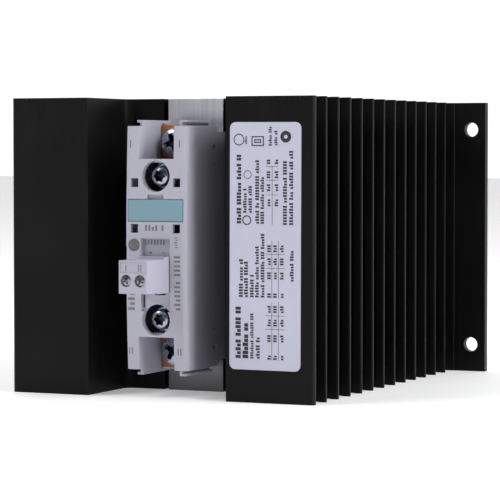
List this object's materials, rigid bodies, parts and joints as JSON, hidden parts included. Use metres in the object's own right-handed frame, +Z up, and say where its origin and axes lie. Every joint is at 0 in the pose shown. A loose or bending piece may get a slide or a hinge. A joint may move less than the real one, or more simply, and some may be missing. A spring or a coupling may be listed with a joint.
{
  "type": "solid state relay",
  "caption": "Solid state relay module on a deep finned heat sink, with screw terminals, a pull-off control plug and drilled panel ears.",
  "frame": {"origin": "centre of the four panel holes, on the back mounting face of the heat sink", "axes": "+X to the right seen from the front, +Y back towards the panel, +Z up along the fins; the relay faces -Y"},
  "size_m": [0.135, 0.1597, 0.1],
  "materials": {
    "black_anodised": "black anodised extrusion, satin, with a bare milled seat in the recess",
    "thermal_foil": "soft grey",
    "nickel_plate": "nickel plated, satin",
    "grey_plastic": "fine moulded texture",
    "plug_plastic": "smooth moulded",
    "zinc_steel": "zinc plated, bright",
    "dark_steel": "zinc plated, dull",
    "ceramic": "fired alumina",
    "copper": "bare copper, lightly tarnished",
    "silicon": "polished",
    "tinned_brass": "tin plated, satin",
    "clear_gel": "soft and clear",
    "circuit_board": "solder mask",
    "black_plastic": "moulded",
    "blue_lacquer": "lacquered",
    "smoked_lens": "smoked lens, unlit",
    "turquoise_plastic": "smooth satin",
    "label_film": "printed silver film, satin"
  },
  "bodies": {
    "root": {"heat_sink": "black_anodised", "thermal_pad": "thermal_foil", "base_plate": "nickel_plate", "base_frame": "grey_plastic", "cover": "grey_plastic", "mounting_screws": "zinc_steel", "substrate": "ceramic", "substrate_pads": "copper", "thyristor_chips": "silicon", "bond_clips": "copper", "gate_leads": "tinned_brass", "potting_gel": "clear_gel", "line_terminal": "copper", "load_terminal": "copper", "terminal_nuts": "zinc_steel", "driver_board": "circuit_board", "optocoupler": "black_plastic", "resistors": "blue_lacquer", "capacitor": "black_plastic", "status_led": "smoked_lens", "light_guide": "smoked_lens", "header_housing": "black_plastic", "header_pins": "tinned_brass", "rating_label": "label_film"},
    "line_washer": {"line_washer": "zinc_steel"},
    "line_screw": {"line_screw": "zinc_steel"},
    "load_washer": {"load_washer": "zinc_steel"},
    "load_screw": {"load_screw": "zinc_steel"},
    "label": {"label_plate": "turquoise_plastic"},
    "plug": {"plug_housing": "plug_plastic", "plug_contacts": "tinned_brass"},
    "plug_screw_left": {"plug_screw_left": "dark_steel"},
    "plug_screw_right": {"plug_screw_right": "dark_steel"},
    "clamp_left": {"clamp_cage_left": "tinned_brass"},
    "clamp_right": {"clamp_cage_right": "tinned_brass"}
  },
  "joints": [
    {"name": "line_washer_lift", "type": "slide", "parent": "root", "child": "line_washer", "axis": [0, -1, 0], "range_m": [0, 0.004]},
    {"name": "line_screw_turn", "type": "hinge", "parent": "line_washer", "child": "line_screw", "pos_m": [0, -0.1253, 0.035], "axis": [0, -1, 0], "range_deg": [0, 1800]},
    {"name": "load_washer_lift", "type": "slide", "parent": "root", "child": "load_washer", "axis": [0, -1, 0], "range_m": [0, 0.004]},
    {"name": "load_screw_turn", "type": "hinge", "parent": "load_washer", "child": "load_screw", "pos_m": [0, -0.1253, -0.035], "axis": [0, -1, 0], "range_deg": [0, 1800]},
    {"name": "label_pull", "type": "slide", "parent": "root", "child": "label", "axis": [0, -1, 0], "range_m": [0, 0.008]},
    {"name": "plug_pull", "type": "slide", "parent": "root", "child": "plug", "axis": [0, -1, 0], "range_m": [0, 0.012]},
    {"name": "plug_screw_left_turn", "type": "hinge", "parent": "plug", "child": "plug_screw_left", "pos_m": [-0.0025, -0.157, -0.01], "axis": [0, 1, 0], "range_deg": [0, 1296]},
    {"name": "plug_screw_right_turn", "type": "hinge", "parent": "plug", "child": "plug_screw_right", "pos_m": [0.0025, -0.157, -0.01], "axis": [0, 1, 0], "range_deg": [0, 1296]},
    {"name": "clamp_left_rise", "type": "slide", "parent": "plug", "child": "clamp_left", "axis": [0, -1, 0], "range_m": [0, 0.0018]},
    {"name": "clamp_right_rise", "type": "slide", "parent": "plug", "child": "clamp_right", "axis": [0, -1, 0], "range_m": [0, 0.0018]}
  ],
  "couplings": [
    {"joint": "line_screw_turn", "follows": "line_washer_lift", "rad_per_m": 7854},
    {"joint": "load_screw_turn", "follows": "load_washer_lift", "rad_per_m": 7854},
    {"joint": "plug_screw_left_turn", "follows": "clamp_left_rise", "rad_per_m": 12566},
    {"joint": "plug_screw_right_turn", "follows": "clamp_right_rise", "rad_per_m": 12566}
  ]
}
